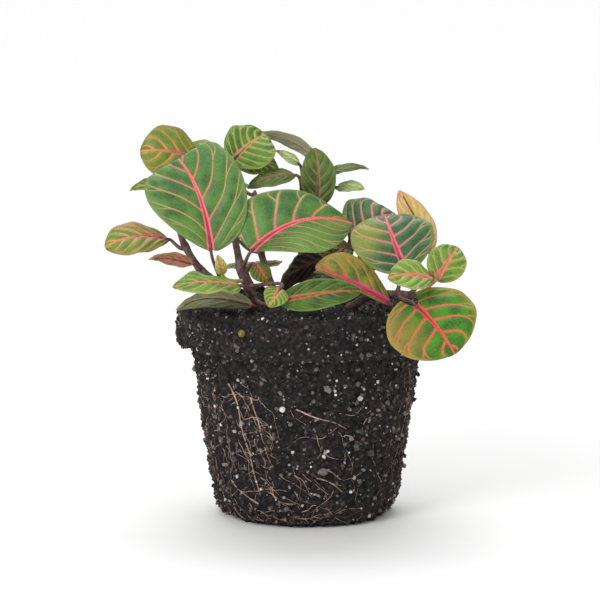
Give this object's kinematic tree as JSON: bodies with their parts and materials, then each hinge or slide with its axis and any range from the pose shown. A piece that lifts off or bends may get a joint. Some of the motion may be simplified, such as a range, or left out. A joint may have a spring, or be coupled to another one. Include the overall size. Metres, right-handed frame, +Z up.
{
  "type": "nerve plant on a pot-shaped root ball",
  "caption": "Nerve plant with veined oval leaves on creeping stems, standing on the bare pot-shaped root ball it grew in.",
  "frame": {"origin": "centre of the root ball's flat foot, on the surface it stands on", "axes": "+Z up along the root ball's axis; -Y is the front, where the largest leaves face; +X is to the front's right, where the low creeping shoot is"},
  "size_m": [0.1648, 0.1422, 0.1762],
  "materials": {
    "soil": "damp dark peat with white perlite grains, very rough",
    "root": "thin pale tan roots, matt",
    "perlite": "white porous grains, matt",
    "prill": "dull yellow coated pellet",
    "stem": "dark purple-brown living stem, matt",
    "leaf": "mid green living leaf with pink and tan veins, satin",
    "leaf_deep": "deep green living leaf with coral-pink veins, satin",
    "leaf_lime": "young lime-green living leaf with orange-pink midrib, satin",
    "leaf_russet": "young leaf with a red-brown underside, satin",
    "husk": "dry pale bract, matt"
  },
  "bodies": {
    "root": {"bract_dry": "husk", "bud_right": "leaf_lime", "fertiliser_prill": "prill", "leaf_arched": "leaf", "leaf_back_pale": "leaf_lime", "leaf_back_pointed": "leaf", "leaf_centre_folded": "leaf", "leaf_far_left": "leaf", "leaf_front_centre": "leaf_deep", "leaf_front_left": "leaf_deep", "leaf_left_bud": "leaf", "leaf_left_pointed": "leaf_russet", "leaf_low_centre": "leaf", "leaf_low_small": "leaf", "leaf_lower_left": "leaf_lime", "leaf_middle_back": "leaf", "leaf_middle_front": "leaf", "leaf_rear_centre": "leaf", "leaf_rear_inner": "leaf", "leaf_rear_left_high": "leaf", "leaf_rear_left_low": "leaf", "leaf_rear_left_mid": "leaf", "leaf_rear_low": "leaf", "leaf_rear_right_high": "leaf", "leaf_rear_right_inner": "leaf", "leaf_rear_right_low": "leaf", "leaf_rear_top": "leaf", "leaf_right_back": "leaf_deep", "leaf_right_inner": "leaf_lime", "leaf_right_low": "leaf", "leaf_right_round": "leaf_deep", "leaf_right_upper": "leaf_lime", "leaf_right_upright": "leaf_russet", "leaf_rim_left": "leaf", "leaf_shade_back": "leaf_russet", "leaf_shade_left": "leaf", "leaf_shade_right": "leaf", "leaf_shade_small": "leaf", "leaf_tall_front": "leaf", "leaf_tall_pale": "leaf", "leaf_tall_right": "leaf", "leaf_top_hidden": "leaf", "leaf_top_left": "leaf", "leaf_top_middle": "leaf", "perlite_front": "perlite", "perlite_right": "perlite", "root_ball": "soil", "root_front_foot": "root", "root_front_slant": "root", "root_left_foot": "root", "root_left_long": "root", "root_left_short": "root", "root_right_edge": "root", "stem_crown": "stem", "stem_left": "stem", "stem_middle": "stem", "stem_rear_left": "stem", "stem_rear_right": "stem", "stem_right": "stem", "stem_tall": "stem"}
  },
  "joints": []
}
